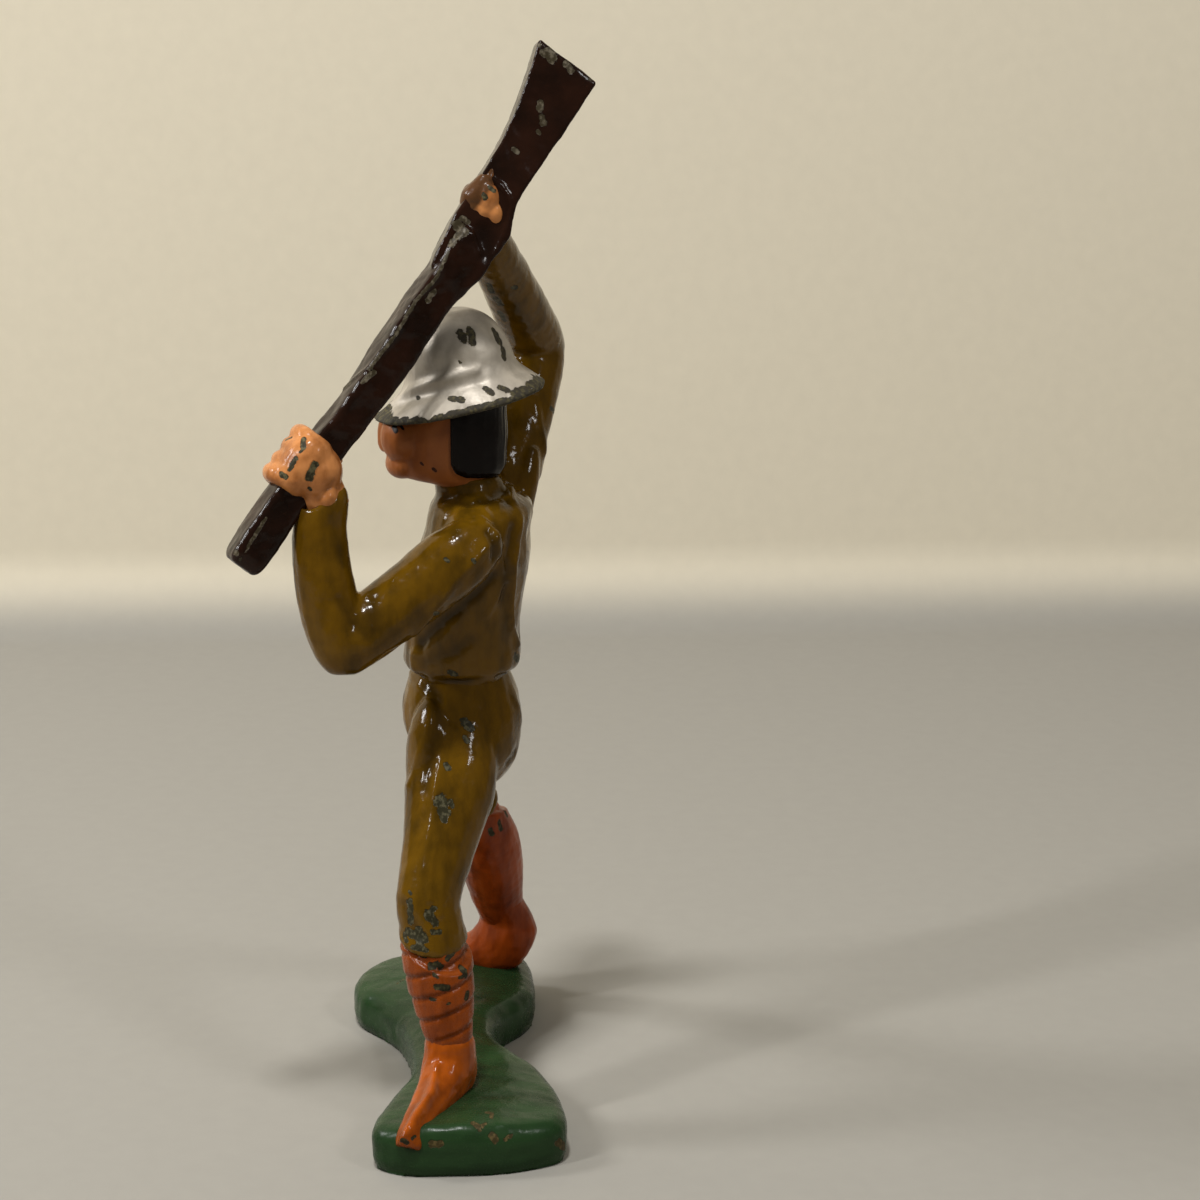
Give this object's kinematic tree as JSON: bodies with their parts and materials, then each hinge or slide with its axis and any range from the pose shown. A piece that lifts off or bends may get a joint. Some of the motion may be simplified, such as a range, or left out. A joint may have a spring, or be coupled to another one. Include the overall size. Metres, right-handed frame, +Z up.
{
  "type": "toy soldier figure",
  "caption": "Standing toy soldier in tin helmet and puttees, legs astride on a waisted base, swinging a rifle held butt up over the head.",
  "frame": {"origin": "on the ground under the base, at the middle of its length, below the figure's waist", "axes": "+Z up; the figure's front faces -Y and its left side +X, so the base is longest along X"},
  "size_m": [0.0486, 0.0336, 0.0989],
  "materials": {
    "khaki": "glossy enamel, dark golden olive, worn at the folds",
    "flesh": "glossy enamel, orange flesh, chipped to bare metal",
    "hair": "glossy enamel, near black",
    "helmet_silver": "silver paint, chipped to dark metal",
    "rifle_brown": "glossy enamel, dark brown, worn along the ridges",
    "orange": "glossy enamel, orange, chipped",
    "base_green": "glossy enamel, dark green, chipped"
  },
  "bodies": {
    "root": {"base": "base_green", "left_boot": "orange", "right_boot": "orange", "left_puttee": "orange", "right_puttee": "orange", "left_breeches_leg": "khaki", "right_breeches_leg": "khaki", "breeches_seat": "khaki", "tunic": "khaki", "collar": "khaki", "left_upper_sleeve": "khaki", "left_lower_sleeve": "khaki", "right_upper_sleeve": "khaki", "right_lower_sleeve": "khaki", "left_hand": "flesh", "right_hand": "flesh", "head": "flesh", "hair": "hair", "helmet": "helmet_silver", "rifle_muzzle_end": "rifle_brown", "rifle_fore_end": "rifle_brown", "rifle_receiver": "rifle_brown", "rifle_butt": "rifle_brown"}
  },
  "joints": []
}
